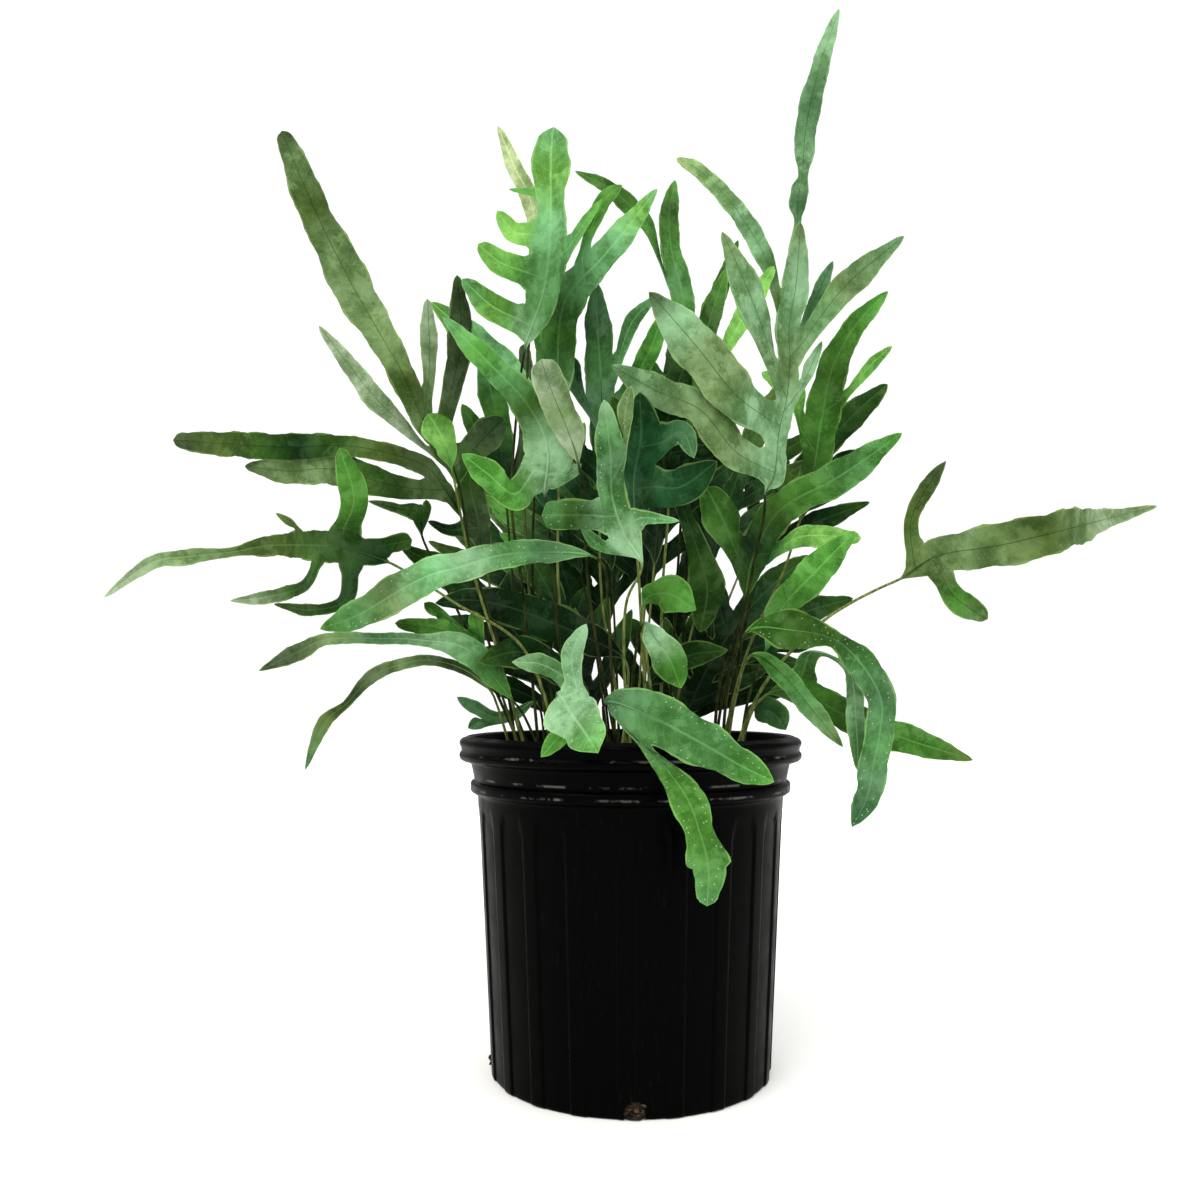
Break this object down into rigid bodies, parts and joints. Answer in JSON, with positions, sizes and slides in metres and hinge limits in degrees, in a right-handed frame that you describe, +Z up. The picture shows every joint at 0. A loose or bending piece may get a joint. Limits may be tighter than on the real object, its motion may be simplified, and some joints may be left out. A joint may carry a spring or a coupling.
{
  "type": "potted blue star fern",
  "caption": "Blue star fern with broad lobed fronds on thin stipes, growing from dark potting soil in a black ribbed nursery pot with a rolled rim.",
  "frame": {"origin": "centre of the pot's foot, on the floor", "axes": "+Z up, -Y towards the front of the plant as pictured, +X to its right seen from the front"},
  "size_m": [0.7822, 0.5431, 0.827],
  "materials": {
    "pot_plastic": "satin black, faint scuffs",
    "soil": "matt, crumbly",
    "frond_sage": "satin",
    "frond_fresh": "satin",
    "frond_deep": "satin",
    "frond_blue": "satin with a bloom",
    "frond_olive": "satin",
    "frond_pale": "satin"
  },
  "bodies": {
    "root": {"pot": "pot_plastic", "soil": "soil", "frond_tall_left": "frond_sage", "frond_left_level": "frond_olive", "frond_left_claw": "frond_deep", "frond_front_long": "frond_blue", "frond_low_left": "frond_blue", "frond_low_left_droop": "frond_olive", "frond_rim_left": "frond_fresh", "frond_small_left": "frond_deep", "frond_dark_low": "frond_deep", "frond_front_small": "frond_blue", "frond_rim_bright": "frond_fresh", "frond_front_big": "frond_blue", "frond_front_leaf": "frond_blue", "frond_curled": "frond_fresh", "frond_pale_top": "frond_pale", "frond_yellow_tip": "frond_pale", "frond_long_pale": "frond_pale", "frond_upright": "frond_fresh", "frond_teal_mid": "frond_blue", "frond_tall_right": "frond_sage", "frond_spike": "frond_sage", "frond_right_green": "frond_deep", "frond_right_fan": "frond_fresh", "frond_right_bright": "frond_fresh", "frond_outlier": "frond_sage", "frond_right_low": "frond_blue", "frond_right_sage": "frond_sage", "frond_right_trailing": "frond_fresh", "frond_rim_right": "frond_deep", "frond_blue_front": "frond_blue", "frond_pale_left": "frond_pale", "frond_ash": "frond_pale", "frond_teal_centre": "frond_blue", "frond_mint": "frond_pale", "frond_dark_left": "frond_deep", "frond_small_round": "frond_fresh", "frond_mid_right": "frond_fresh", "frond_mid_dark": "frond_deep", "frond_mid_left": "frond_deep", "frond_thin_left": "frond_olive", "frond_low_centre": "frond_deep", "frond_low_front": "frond_blue", "frond_low_middle": "frond_olive", "frond_rear_01": "frond_deep", "frond_rear_02": "frond_deep", "frond_rear_03": "frond_olive", "frond_rear_04": "frond_blue", "frond_rear_05": "frond_deep", "frond_rear_06": "frond_deep", "frond_rear_07": "frond_fresh", "frond_rear_08": "frond_deep", "frond_rear_09": "frond_blue", "frond_rear_10": "frond_fresh", "frond_rear_11": "frond_deep", "frond_rear_12": "frond_fresh", "frond_rear_13": "frond_olive", "frond_rear_14": "frond_deep", "frond_rear_15": "frond_fresh"}
  },
  "joints": []
}
